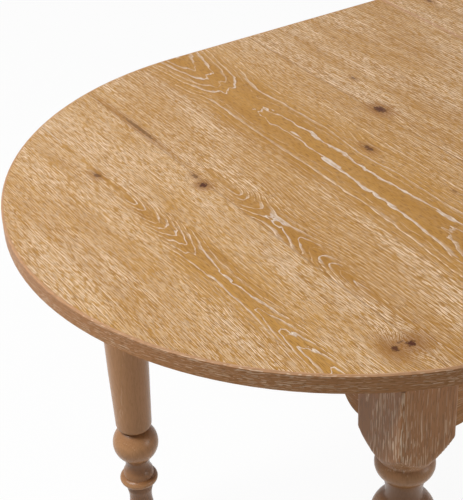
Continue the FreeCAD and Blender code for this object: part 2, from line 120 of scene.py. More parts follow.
# Weakens a mask by each share in turn
def thinned(add, mask, *shares):
    for share in shares:
        mask = add("Math MULTIPLY", mask, share)
    return mask


# A noise whose spots have the given size along each axis
def stretchedCloud(add, place, size, detail):
    scaled = add("VectorMath MULTIPLY", place, [1 / length for length in size])
    return add("TexNoise", {"Vector": scaled, "Scale": 1.0, "Detail": detail})


# Ends a material with a skin of this relief, its depth in metres
def surfaced(add, colour, height, depth, roughness, gloss=0.15, strength=1.0, **more):
    bump = add("Bump", {"Strength": strength, "Distance": depth, "Height": height})
    look = {"Base Color": colour, "Roughness": roughness, "Normal": bump, "Specular IOR Level": gloss}
    add("OutputMaterial", {"Surface": add("BsdfPrincipled", {**look, **more})})


def newPiece(name, shape):
    piece = bpy.data.objects.new(name, shape)
    bpy.context.scene.collection.objects.link(piece)
    return piece


def newMesh(name, points, edges=(), faces=()):
    mesh = bpy.data.meshes.new(name)
    mesh.from_pydata(points, edges, faces)
    return mesh


# A closed skin over rings of points, each with as many points around
def ringPiece(name, points, around):
    faces = [tuple(range(around)), tuple(range(len(points) - 1, len(points) - around - 1, -1))]
    for row in range(0, len(points) - around, around):
        for i in range(around):
            j = (i + 1) % around
            faces.append((row + i, row + around + i, row + around + j, row + j))
    return newPiece(name, newMesh(name, points, faces=faces))


# The camera stands at the left end of the near side and looks down over the rounded end of the top
camera = {
    "place": (-1.187668, -1.113520, 1.507236),  # metres
    "pitchDown": 0.559863,  # radians
    "headingFromY": 0.539271,
    "roll": 0.0454,
    "focalPixels": 1328.23,
    "frameHeight": 500,
    "sensor": 36.0,
    "reach": 60,
}


def makeCamera(c):
    heading = Vector((math.sin(c["headingFromY"]), math.cos(c["headingFromY"]), 0))
    forward = heading * math.cos(c["pitchDown"]) - Vector((0, 0, math.sin(c["pitchDown"])))
    levelRight = Vector((heading.y, -heading.x, 0))
    levelDown = forward.cross(levelRight)
    right = levelRight * math.cos(c["roll"]) + levelDown * math.sin(c["roll"])
    down = levelDown * math.cos(c["roll"]) - levelRight * math.sin(c["roll"])
    lens = bpy.data.cameras.new("photoCamera")
    lens.sensor_width = c["sensor"]
    lens.lens = c["focalPixels"] * c["sensor"] / c["frameHeight"]
    lens.clip_end = c["reach"]
    piece = newPiece("photoCamera", lens)
    turn = Matrix((right, -down, -forward)).transposed()
    piece.matrix_world = Matrix.Translation(c["place"]) @ turn.to_4x4()
    bpy.context.scene.camera = piece


makeCamera(camera)
print("camera set")

# Limed oak: white oak, wire-brushed so the pores stand open, filled with white lime paste and
# lacquered matt. The eye sees honey wood crossed by fine chalky lines, one for each growth ring,
# broken into dashes where the pores end and spreading into white patches where the cut is flat.
oak = {
    "pale": "#C6954F",
    "deep": "#AC7A38",
    "lateWood": "#9A6A34",
    "darkPore": "#7E5328",
    "paleLine": "#F8DFC2",
    "lime": "#E9DCD2",
    "knotHeart": "#4E2611",
    "knotHalo": "#91602E",
    "ringWidth": 4.0,  # mm
    "halfway": 0.45,  # of a ring, where the thinner rows lie
    "gentlest": 0.08,
    "chalkShare": 0.8,
    "poreDepth": 0.5,
    # Ranges: from and to of what goes in, then of what it becomes. Rows of pores and chalk go by mm
    # from the ring's edge, and the rows are drawn coarser: real ones, 0.3 mm wide, would not show.
    "line": (0.93, 1.55, 1.0, 0.0),
    "between": (0.3875, 0.775, 1.0, 0.0),
    "chalk": (2.76, 4.6, 1.0, 0.0),
    "late": (0.0, 1.6, 1.0, 0.0),
    "flat": (0.2, 0.6, 1.0, 0.0),
    "reach": (0.0, 1.0, 0.25, 1.2),
    "sparse": (0.0, 1.0, 0.13, 0.0),  # with less lime, fewer pores show
    "lineByRing": (0.0, 0.8, 0.45, 1.0),
    "lineByZone": (0.0, 1.0, 0.6, 1.0),
    "betweenBySlope": (0.5, 0.9),
    "betweenByZone": (0.0, 1.0, 0.25, 0.9),
    "chalkBySpeck": (0.0, 1.0, 0.6, 1.0),
    "chalkByRing": (0.3, 0.6),
    "speckByFlat": (0.0, 1.0, 1.0, 0.3),
    "speckByTone": (0.0, 1.0, 0.1, 0.42),
    "lateByLime": (0.0, 1.0, 0.1, 0.45),
    "darkByLime": (0.0, 1.0, 0.1, 0.5),
    "filledByLime": (0.0, 0.6),
    # Streaks: width and length in mm, their place in the noise, its range, and its detail
    "zones": (45, 210, 13.0, 0.38, 0.60, 1.0),
    "pores": (0.8, 12.0, 87.0, 0.42, 0.50, 0.0),
    "poresBetween": (0.8, 8.4, 19.0, 0.46, 0.54, 0.0),
    "specks": (0.8, 8.0, 3.0, 0.50, 0.60, 0.0),
    "speckZones": (9, 70, 71.0, 0.40, 0.60, 1.0),
    "chalkReach": (8, 60, 17.0, 0.30, 0.55, 1.5),
    "darkPores": (0.8, 9.6, 41.0, 0.54, 0.64, 0.0),
    "tones": (30, 320, 29.0, 0.30, 0.70, 3.0),
    "shifting": (1.0, 1.7, 0.6),  # shares of the place, by axis
}


def makeOakGroup(o):
    inputs = [
        ("Grain", "Vector", None),  # mm, Z along the grain
        ("Ring", "Float", 0.0),  # mm from the pith
        ("Lime", "Float", 1.0),
        ("Tone", "Float", 0.5),
        ("Slope", "Float", 1.0),  # how steeply the rings meet the face, 1 is square
        ("Stain", "Color", (0.3, 0.2, 0.1, 1.0)),
        ("Stain Share", "Float", 0.0),
    ]
    outputs = [("Color", "Color"), ("Height", "Float")]
    tree, add, put = newTree("limedOakGrain", "Shader", inputs, outputs)
    sparse = add("MapRange", put["Lime"], *o["sparse"])

    def streaks(name, less=0.0):
        width, length, shift, low, high, detail = o[name]
        scaled = add("VectorMath MULTIPLY", put["Grain"], (1 / width, 1 / width, 1 / length))
        moved = add("VectorMath ADD", scaled, [shift * share for share in o["shifting"]])
        cloud = add("TexNoise", {"Vector": moved, "Scale": 1.0, "Detail": detail})
        return add("MapRange", add("Math SUBTRACT", cloud, less), low, high)

    # where a point lies in its ring, and how far it is from the rings' edges along the face
    phase = add("Math DIVIDE", put["Ring"], o["ringWidth"])
    part = add("Math FRACT", phase)
    chance = add("TexWhiteNoise", {"W": add("Math FLOOR", phase)}, noise_dimensions="1D")
    gentle = add("Math MAXIMUM", put["Slope"], o["gentlest"])
    left = add("Math SUBTRACT", 1.0, part)
    before, after = [
        add("Math DIVIDE", add("Math MULTIPLY", share, o["ringWidth"]), gentle) for share in (left, part)
    ]

    # rows of open pores at the end of each ring, and thinner ones halfway
    zone = streaks("zones")
    line = thinned(
        add,
        add("MapRange", before, *o["line"]),
        streaks("pores", sparse),
        add("MapRange", chance, *o["lineByRing"]),
        add("MapRange", zone, *o["lineByZone"]),
    )
    half = add("Math ABSOLUTE", add("Math SUBTRACT", part, o["halfway"]))
    half = add("Math MULTIPLY", half, o["ringWidth"])
    between = thinned(
        add,
        add("MapRange", half, *o["between"]),
        streaks("poresBetween", sparse),
        add("MapRange", put["Slope"], *o["betweenBySlope"]),
        add("MapRange", zone, *o["betweenByZone"]),
    )
    line = add("Math MAXIMUM", line, between)

    # chalky bands where the cut is flat, and loose specks elsewhere
    flat = add("MapRange", put["Slope"], *o["flat"])
    speck = streaks("specks", sparse)
    reach = add("MapRange", streaks("chalkReach"), *o["reach"])
    chalk = thinned(
        add,
        add("MapRange", add("Math DIVIDE", before, reach), *o["chalk"]),
        flat,
        add("MapRange", speck, *o["chalkBySpeck"]),
        add("MapRange", chance, *o["chalkByRing"]),
    )
    speck = thinned(
        add,
        speck,
        add("MapRange", flat, *o["speckByFlat"]),
        streaks("speckZones"),
        add("MapRange", put["Tone"], *o["speckByTone"]),
    )
    dark = streaks("darkPores")

    tone = add("Math MULTIPLY", add("Math ADD", streaks("tones"), put["Tone"]), 0.5)
    late = add("MapRange", after, *o["late"])
    late = add("Math MULTIPLY", late, add("MapRange", put["Lime"], *o["lateByLime"]))
    bare = add("Math MULTIPLY", dark, add("MapRange", put["Lime"], *o["darkByLime"]))
    most = add("MapRange", put["Lime"], *o["filledByLime"])
    unlimed = add("Math SUBTRACT", 1.0, put["Lime"])
    filled = add("MapRange", add("Math MAXIMUM", line, speck), unlimed, 1.0, 0.0, most)
    coats = (
        (tone, o["pale"]),
        (put["Stain Share"], put["Stain"]),
        (late, o["lateWood"]),
        (bare, o["darkPore"]),
        (filled, o["paleLine"]),
        (thinned(add, chalk, put["Lime"], o["chalkShare"]), o["lime"]),
    )
    colour = coated(add, linear(o["deep"]), coats)
    pits = add("Math MULTIPLY", add("Math MAXIMUM", line, dark), o["poreDepth"])
    add("GroupOutput", {"Color": colour, "Height": add("Math SUBTRACT", 1.0, pits)})
    return tree


oakGroup = makeOakGroup(oak)

# The veneer of the top: three leaves on each half, side by side from the joint outwards, with the
# grain across the table. Figures are the crown-cut cathedrals: how far the middle lies from the joint,
# then how deep the pith lies under the cut, all in mm, at shares of half the table's width.
veneer = {
    "seams": (239.0, 513.0),  # mm from the joint
    "width": 800.0,
    "deepest": 80.0,
    "main": (357.0, ((-1.0, 56.0), (-0.6, 64.0), (-0.42, 68.5), (-0.1, 70.5), (0.25, 71.0), (0.47, 72.0),
                     (0.56, 73.5), (0.65, 72.0), (0.72, 67.0), (0.85, 61.0), (1.0, 56.0))),
    "outer": (605.0, ((-1.0, 12.0), (-0.7, 20.0), (-0.45, 27.0), (-0.2, 28.0), (-0.08, 24.0), (0.1, 13.0),
                      (0.25, 5.0), (0.4, 3.0), (1.0, 3.0))),
    "second": (497.0, ((-1.0, 2.0), (-0.6, 2.0), (-0.5, 5.0), (-0.38, 14.0), (-0.25, 24.0), (-0.14, 27.0),
                       (-0.06, 23.0), (0.12, 4.0), (0.2, 2.0), (1.0, 2.0))),
    # How the rings wander: width and length of the waves in mm, and how far they go
    "drift": (120, 420, 16.0),
    "slowWave": (30, 240, 5.0),
    "quickWave": (8, 40, 3.0),
    "crownWave": (6, 15, 2.2),  # only where the cut is flat
    "outerRings": 1.5,  # the outer leaf grew more slowly, so its rings are closer
    "leafTones": (0.3, 0.5, 0.8),  # from the joint outwards, 1 is the palest
    "knotBend": 9.0,  # mm that the rings give way round a dark knot
    "scatter": 700.0,  # mm that the leaves are apart in the noise
    "seamHalf": 1.0,  # mm
    # painted highlight: a pale line along the joint, where the edges of the two halves catch the light
    "jointHighlightLine": (0.6, 1.6, 1.0, 0.0),  # mm from the joint
    "seamShare": 0.35,
    "haloShare": 0.75,
    "jointHighlightShare": 0.6,
    "brushing": 0.00012,  # metres from the pores' floor to the face
    "roughness": 0.52,
}
# Knots: X and Y of the middle and half sizes in mm, how dark the heart is, and the halo's reach in half
# sizes if unusual
knots = (
    (-508, 235, 3.0, 48.0, 0.55),  # a bark streak along the seam
    (-608, 158, 4.0, 7.5, 0.7),
    (-515, 87, 3.0, 6.0, 0.6),
    (-518, 63, 5.0, 6.0, 1.0),
    (-203, 194, 2.5, 5.0, 0.6),
    (-232, 98, 7.0, 11.0, 0.95),
    (-308, 22, 4.0, 9.0, 0.8),
    (-535, -318, 4.0, 5.5, 0.9, 7.0),
    (-517, -320, 5.5, 5.0, 1.0, 6.0),
    (-525, -312, 6.0, 1.8, 0.55),  # the crack between the two
    (-293, -120, 2.0, 5.0, 0.4),
    (53, 346, 3.0, 6.0, 0.7),
    (300, -210, 4.0, 8.0, 0.8),
    (452, 120, 5.0, 7.0, 1.0),
    (610, -60, 4.0, 6.5, 0.7),
    (262, -32, 3.0, 6.0, 0.6),
    (396, 305, 4.0, 5.5, 0.8),
)
knotForm = {
    "usualReach": 3.4,
    "spots": 0.28,  # in a mm, of what frays the edge
    "heart": (0.5, 1.2, 1.0, 0.0),
    "haloFrom": 0.9,
    "bendShrink": (0.16, 0.10, 0.0),
}


def makeKnotGroup(k):
    inputs = [(label, "Vector", None) for label in ("Place", "Middle", "Half Size")]
    inputs.append(("Halo Reach", "Float", k["usualReach"]))
    outputs = [(label, "Float") for label in ("Heart", "Halo", "Bend")]
    tree, add, put = newTree("oakKnot", "Shader", inputs, outputs)
    away = add("VectorMath SUBTRACT", put["Place"], put["Middle"])
    away = add("VectorMath DIVIDE", away, put["Half Size"])
    rough = add("TexNoise", {"Vector": put["Place"], "Scale": k["spots"], "Detail": 2.0})
    spread = add("Math MULTIPLY_ADD", rough, 2.0, add("VectorMath LENGTH", away))
    spread = add("Math SUBTRACT", spread, 1.0)
    soft = {"interpolation_type": "SMOOTHSTEP"}
    heart = add("MapRange", spread, *k["heart"], **soft)
    halo = add("MapRange", spread, k["haloFrom"], put["Halo Reach"], 1.0, 0.0, **soft)
    wide = add("VectorMath LENGTH", add("VectorMath MULTIPLY", away, k["bendShrink"]))
    bend = add("MapRange", wide, 0.0, 1.0, 1.0, 0.0, **soft)
    add("GroupOutput", {"Heart": heart, "Halo": halo, "Bend": bend})
    return tree


def makeVeneerGroup(v, knotTree):
    outputs = [(label, "Float") for label in ("Ring", "Tone", "Slope", "Heart", "Halo", "Joint", "Seam")]
    outputs.insert(0, ("Grain", "Vector"))
    inputs = [("Place", "Vector", None)]  # metres
    tree, add, put = newTree("crownCutVeneer", "Shader", inputs, outputs)
    place = add("VectorMath SCALE", put["Place"], {"Scale": 1 / mm})
    level = add("VectorMath MULTIPLY", place, (1.0, 1.0, 0.0))
    x, y, z = add("SeparateXYZ", place).outputs
    side = add("Math SIGN", x)
    distance = add("Math ABSOLUTE", x)
    along = add("Math MULTIPLY", y, add("Math MULTIPLY", side, -1.0))
    inner, outer = [add("Math GREATER_THAN", distance, seam) for seam in v["seams"]]
    number = add("Math MULTIPLY_ADD", side, 3.0, add("Math ADD", inner, outer))
    chance = add("TexWhiteNoise", {"W": number}, noise_dimensions="1D")
    shift = add("VectorMath SCALE", chance.outputs["Color"], {"Scale": v["scatter"]})
    moved = add("VectorMath ADD", add("CombineXYZ", distance, z, along), shift)

    def wander(width, length, amount):
        cloud = stretchedCloud(add, moved, (width, width, length), 1.0)
        return add("Math MULTIPLY_ADD", cloud, amount, -amount / 2)

    across = add("Math ADD", distance, wander(*v["drift"]))
    share = add("Math MULTIPLY_ADD", along, 1 / v["width"], 0.5)

    def figure(middle, depths):
        points = [((spot + 1) / 2, depth / v["deepest"]) for spot, depth in depths]
        depth = add("Math MULTIPLY", add("FloatCurve", {"Value": share}, curve=points), v["deepest"])
        off = add("Math SUBTRACT", across, middle)
        ring = add("VectorMath LENGTH", add("CombineXYZ", off, depth))
        return ring, add("Math ABSOLUTE", add("Math DIVIDE", off, ring))

    def byLeaf(first, second, third):
        return add("Mix", {0: outer, 2: add("Mix", {0: inner, 2: first, 3: second}), 3: third})

    mainFigure, secondFigure, outerFigure = [figure(*v[key]) for key in ("main", "second", "outer")]
    nearSecond = add("Math LESS_THAN", secondFigure[0], mainFigure[0])
    ring, slope = [
        byLeaf(straight, add("Mix", {0: nearSecond, 2: first, 3: second}), last)
        for straight, first, second, last in zip((across, 1.0), mainFigure, secondFigure, outerFigure)
    ]
    ring = add("Math ADD", ring, wander(*v["slowWave"]))
    ring = add("Math ADD", ring, wander(*v["quickWave"]))
    ring = add("Math MULTIPLY_ADD", wander(*v["crownWave"]), add("Math SUBTRACT", 1.0, slope), ring)
    ring = add("Math MULTIPLY", ring, add("Mix", {0: outer, 2: 1.0, 3: v["outerRings"]}))

    heart, halo = 0.0, 0.0
    for knotX, knotY, halfX, halfY, dark, *reach in knots:
        middle, half = (knotX, knotY, 0), (halfX, halfY, 1)
        knot = add("Group", level, middle, half, *reach, node_tree=knotTree).outputs
        ring = add("Math MULTIPLY_ADD", knot["Bend"], v["knotBend"] * dark, ring)
        heart = add("Math MAXIMUM", add("Math MULTIPLY", knot["Heart"], dark), heart)
        halo = add("Math MAXIMUM", add("Math MULTIPLY", knot["Halo"], dark), halo)
    seam = 0.0
    for away in v["seams"]:
        seam = add("Math MAXIMUM", seam, add("Math COMPARE", distance, away, v["seamHalf"]))
    found = {"Grain": moved, "Ring": ring, "Tone": byLeaf(*v["leafTones"]), "Slope": slope, "Seam": seam}
    # painted highlight along the joint between the halves
    joint = add("MapRange", distance, *v["jointHighlightLine"])
    add("GroupOutput", {**found, "Heart": heart, "Halo": halo, "Joint": joint})
    return tree


veneerGroup = makeVeneerGroup(veneer, makeKnotGroup(knotForm))


def makeVeneerOak(name, offset, highlightsJoint, v):
    material, add = newShader(name)
    moved = add("Mapping", add("TexCoord").outputs["Object"], offset)
    figured = add("Group", {"Place": moved}, node_tree=veneerGroup).outputs
    fed = {label: figured[label] for label in ("Grain", "Ring", "Tone", "Slope")}
    wood = add("Group", fed, node_tree=oakGroup).outputs
    coats = [
        (add("Math MULTIPLY", figured["Seam"], v["seamShare"]), oak["darkPore"]),
        (add("Math MULTIPLY", figured["Halo"], v["haloShare"]), oak["knotHalo"]),
        (figured["Heart"], oak["knotHeart"]),
    ]
    # painted highlight along the joint between the halves
    if highlightsJoint:
        coats.append((add("Math MULTIPLY", figured["Joint"], v["jointHighlightShare"]), oak["paleLine"]))
    surfaced(add, coated(add, wood["Color"], coats), wood["Height"], v["brushing"], v["roughness"])
    return material


# Solid limed oak looks redder and browner than the top, because it takes more stain. The order names
# the axes across, across and along the grain, and the pith is where the middle of the tree lies, in mm.
apronOak = {"lime": 0.6, "stainShare": 0.6, "stain": "#C89068", "roughness": 0.5, "gloss": 0.15}
solidOak = {
    "limedOakTurned": {
        "order": (0, 1, 2), "pith": (58.0, 34.0, 0.0), "lime": 0.75, "stainShare": 0.75,
        "stain": "#AE7246", "roughness": 0.42, "gloss": 0.30,
    },
    "limedOakSideApron": {"order": (2, 1, 0), "pith": (590.0, 290.0, 0.0), **apronOak},
    "limedOakEndApron": {"order": (2, 0, 1), "pith": (600.0, 480.0, 0.0), **apronOak},
}
solidGrain = {
    "tone": 0.4,
    "waves": (40, 40, 260),  # mm
    "sway": 16.0,
    "poreScale": (0.6, 0.6, 0.85),
    "brushing": 0.0001,
}
# Below the block, sanding on the lathe closes the pores, so the wood takes less lime and shines more.
# Painted shade darkens the grooves and the upward faces of the balls and beads.
turnedPart = {
    "heights": (0.60, 0.63),  # metres, where the block's look comes in
    "lime": 0.12,
    "stain": "#BB8A64",
    "roughness": 0.27,
    # painted shade: the dark colour laid on the upward faces and in the grooves of the turnings
    "dark": "#6E472C",
    "upwardShade": (0.3, 0.9, 0.0, 0.5),  # how far a face looks up, and the share of dark there
    "groove": (0.0205, 0.0285, 0.6, 0.0),  # metres from the axis, and the share there
}


def makeSolidOak(name, s, g, turned=None):
    material, add = newShader(name)
    if turned:
        place = add("Attribute", attribute_name="blank", attribute_type="GEOMETRY").outputs["Vector"]
    else:
        place = add("TexCoord").outputs["Object"]
    axes = add("SeparateXYZ", place).outputs
    grain = add("VectorMath SCALE", add("CombineXYZ", *[axes[i] for i in s["order"]]), {"Scale": 1 / mm})
    cloud = stretchedCloud(add, grain, g["waves"], 2.0)
    off = add("VectorMath MULTIPLY", add("VectorMath SUBTRACT", grain, s["pith"]), (1.0, 1.0, 0.0))
    ring = add("Math MULTIPLY_ADD", cloud, g["sway"], add("VectorMath LENGTH", off))
    pores = add("VectorMath MULTIPLY", grain, g["poreScale"])
    lime, stain, roughness = s["lime"], linear(s["stain"]), s["roughness"]
    if turned:
        block = add("MapRange", axes["Z"], *turned["heights"])
        lime = add("MapRange", block, {3: turned["lime"], 4: lime})
        stain = coated(add, linear(turned["stain"]), [(block, s["stain"])])
        roughness = add("MapRange", block, {3: turned["roughness"], 4: roughness})
    look = {"Lime": lime, "Tone": g["tone"], "Stain Share": s["stainShare"], "Stain": stain}
    wood = add("Group", {"Grain": pores, "Ring": ring, **look}, node_tree=oakGroup).outputs
    colour = wood["Color"]
    if turned:
        # painted shade on the upward faces and in the grooves of the turned parts
        facing = add("SeparateXYZ", add("NewGeometry").outputs["Normal"]).outputs["Z"]
        upwardShade = add("MapRange", facing, *turned["upwardShade"])
        radius = add("VectorMath LENGTH", add("VectorMath MULTIPLY", place, (1.0, 1.0, 0.0)))
        groove = add("MapRange", radius, *turned["groove"])
        colour = coated(add, colour, [(add("Math MAXIMUM", upwardShade, groove), turned["dark"])])
    surfaced(add, colour, wood["Height"], g["brushing"], roughness, s["gloss"])
    return material


# The edging is bent round the top, so its grain follows the rim: an arc at the ends, straight between
edging = {
    "radius": 0.4,  # metres
    "turnX": 0.365,  # where the arc starts
    "endShift": 0.4,  # metres, so the ends don't match
    "waves": (14, 14, 160),  # mm
    "sway": 14.0,
    "ringsPerHeight": 1500.0,
    "poreScale": (1 / 1.5, 1 / 1.5, 1.5),
    "lime": 0.65,
    "stainShare": 0.6,
    "stain": "#BC8668",
    "edgeHighlight": "#E2C3A4",  # painted highlight along the top edge, where the light catches it
    "edgeHighlightShare": 0.2,
    "edgeHighlightFacing": (0.15, 0.5),
    "edgeHighlightHeights": (0.747, 0.749),  # metres
    "brushing": 0.0001,
    "roughness": 0.5,
}


def makeEdgingOak(name, e):
    material, add = newShader(name)
    x, y, z = add("SeparateXYZ", add("TexCoord").outputs["Object"]).outputs
    reach = add("Math ABSOLUTE", x)
    turn = add("Math MINIMUM", reach, e["turnX"])
    out = add("Math SUBTRACT", reach, turn)
    straight = add("Math MULTIPLY", add("Math SUBTRACT", e["turnX"], turn), add("Math SIGN", y))
    along = add("Math MULTIPLY_ADD", add("Math ARCTAN2", y, out), e["radius"], straight)
    depth = add("VectorMath LENGTH", add("CombineXYZ", out, y))
    height = add("Math MULTIPLY_ADD", add("Math SIGN", x), e["endShift"], z)
    grain = add("VectorMath SCALE", add("CombineXYZ", height, depth, along), {"Scale": 1 / mm})
    ring = add("Math MULTIPLY", height, e["ringsPerHeight"])
    ring = add("Math MULTIPLY_ADD", stretchedCloud(add, grain, e["waves"], 2.0), e["sway"], ring)
    pores = add("VectorMath MULTIPLY", grain, e["poreScale"])
    look = {"Lime": e["lime"], "Stain Share": e["stainShare"], "Stain": linear(e["stain"])}
    wood = add("Group", {"Grain": pores, "Ring": ring, **look}, node_tree=oakGroup).outputs
    # painted highlight along the upward-facing top edge of the rim
    facing = add("SeparateXYZ", add("NewGeometry").outputs["Normal"]).outputs["Z"]
    upper = add("MapRange", facing, *e["edgeHighlightFacing"], interpolation_type="SMOOTHSTEP")
    highlightAtTop = add("MapRange", z, *e["edgeHighlightHeights"])
    colour = coated(add, wood["Color"], [(thinned(add, upper, highlightAtTop, e["edgeHighlightShare"]), e["edgeHighlight"])])
    surfaced(add, colour, wood["Height"], e["brushing"], e["roughness"])
    return material


# Steamed beech: planed and waxed, pinkish with short darker ray flecks
beech = {
    "tints": ((0.35, "#C99A6D"), (0.65, "#DDB78E")),
    "fleck": "#A9774E",
    "flecks": (0.9, 0.9, 4.0),  # mm
    "fleckRange": (0.60, 0.68, 0.0, 0.7),
    "waves": (9, 9, 210),
    "relief": 0.00004,
    "roughness": 0.6,
}


def makeBeech(name, order, b):
    material, add = newShader(name)
    axes = add("SeparateXYZ", add("TexCoord").outputs["Object"]).outputs
    grain = add("VectorMath SCALE", add("CombineXYZ", *[axes[i] for i in order]), {"Scale": 1 / mm})
    fleck = stretchedCloud(add, grain, b["flecks"], 1.0)
    fleck = add("MapRange", fleck, *b["fleckRange"])
    figure = stretchedCloud(add, grain, b["waves"], 3.0)
    colour = add("ValToRGB", figure, stops=b["tints"])
    surfaced(add, coated(add, colour, [(fleck, b["fleck"])]), fleck, b["relief"], b["roughness"])
    return material


# Metals: tints of the same skin, roughness, and the grit of its mottling in mm. Zinc plating is grey and
# softly clouded, turned steel brighter and smoother, rolled brass yellow with a satin shine.
metals = {
    "zincPlatedSteel": (((0.35, "#A9ADB0"), (0.65, "#D3D6D8")), 0.42, 6.0),
    "turnedSteel": (((0.35, "#B4B6B8"), (0.65, "#DADCDD")), 0.28, 3.0),
    "rolledBrass": (((0.35, "#B48A3C"), (0.65, "#D9B364")), 0.33, 5.0),
}
metalSkin = {"detail": 3.0, "clouds": (0.3, 0.7), "rougher": (-0.06, 0.08), "relief": 0.00006,
             "gloss": 0.5, "strength": 0.35}


def makeMetal(name, tints, roughness, grit, m):
    material, add = newShader(name)
    place = add("TexCoord").outputs["Object"]
    cloud = add("TexNoise", {"Vector": place, "Scale": 1 / (grit * mm), "Detail": m["detail"]})
    colour = add("ValToRGB", cloud, stops=tints)
    rough = add("MapRange", cloud, *m["clouds"], *[roughness + more for more in m["rougher"]])
    surfaced(add, colour, cloud, m["relief"], rough, m["gloss"], m["strength"], Metallic=1.0)
    return material


# Moulded plastics: tints and roughness. They are even and slightly waxy, with a fine grit.
plastics = {
    "mouldedNylon": (((0.3, "#DDD8CB"), (0.7, "#EDEAE0")), 0.42),
    "mouldedPolythene": (((0.3, "#3B2F27"), (0.7, "#4A3B31")), 0.45),
}
plasticSkin = {"clouds": 60.0, "grit": 2200.0, "relief": 0.00002}  # spots in a metre, metres


def makePlastic(name, tints, roughness, p):
    material, add = newShader(name)
    place = add("TexCoord").outputs["Object"]
    cloud = add("TexNoise", {"Vector": place, "Scale": p["clouds"], "Detail": 2.0})
    grit = add("TexNoise", {"Vector": place, "Scale": p["grit"], "Detail": 1.0})
    surfaced(add, add("ValToRGB", cloud, stops=tints), grit, p["relief"], roughness)
    return material


# Wool felt: dull, with a soft edge to the light
wool = {
    "tints": ((0.3, "#5B5246"), (0.7, "#7C715F")),
    "fibres": {"Scale": 900.0, "Detail": 4.0, "Distortion": 1.5},
    "nap": {"Sheen Weight": 0.5, "Sheen Roughness": 0.6},
    "relief": 0.0004,
    "roughness": 0.95,
    "gloss": 0.5,
    "strength": 0.9,
}


def makeFelt(name, w):
    material, add = newShader(name)
    fibre = add("TexNoise", add("TexCoord").outputs["Object"], w["fibres"])
    colour = add("ValToRGB", fibre, stops=w["tints"])
    surfaced(add, colour, fibre, w["relief"], w["roughness"], w["gloss"], w["strength"], **w["nap"])
    return material


topOak = makeVeneerOak("limedOakVeneer", (0, 0, 0), True, veneer)
leafOak = makeVeneerOak("limedOakVeneerLeaf", (0.31, 0.07, 0), False, veneer)
edgingOak = makeEdgingOak("limedOakEdging", edging)
legOak, sideApronOak, endApronOak = [
    makeSolidOak(name, s, solidGrain, turnedPart if name == "limedOakTurned" else None)
    for name, s in solidOak.items()
]
beechAlong = makeBeech("steamedBeechAlong", (2, 1, 0), beech)
beechAcross = makeBeech("steamedBeechAcross", (2, 0, 1), beech)
zinc, brightSteel, brass = [makeMetal(name, *row, metalSkin) for name, row in metals.items()]
nylon, glidePlastic = [makePlastic(name, *row, plasticSkin) for name, row in plastics.items()]
felt = makeFelt("pressedWoolFelt", wool)

# Each finish with how the names of its nodes start
dressing = (
    (topOak, "top_board_"),
    (edgingOak, "top_edging_"),
    (legOak, "leg_near", "leg_far"),
    (leafOak, "leaf_lower_board", "leaf_upper_board"),
    (sideApronOak, "side_apron_"),
    (endApronOak, "end_apron_"),
    (beechAlong, "slide_rail_", "runner_", "slide_stops", "alignment_dowels", "leaf_dowels"),
    (beechAcross, "leaf_bearer_", "rail_bearer_"),
    (nylon, "rack_", "pinion_near", "pinion_far", "glide_pads"),
    (brightSteel, "pinion_pin_", "lock_posts", "lock_keepers"),
    (zinc, "corner_bracket_", "leg_bolts", "leg_nuts", "lock_lever_"),
    (brass, "leaf_hinges"),
    (glidePlastic, "foot_glides"),
    (felt, "felt_strips"),
)


def dress(piece, material):
    if not piece.material_slots:
        piece.data.materials.append(material)
    for slot in piece.material_slots:
        slot.material = material


for material, *starts in dressing:
    for nodeName, piece in nodes.items():
        if nodeName.startswith(tuple(starts)):
            dress(piece, material)
print("nodes dressed")


def finished(tree, add, geometry, material):
    real = add("RealizeInstances", {"Geometry": geometry})
    add("GroupOutput", {"Geometry": add("SetMaterial", {"Geometry": real, "Material": material})})
    return tree


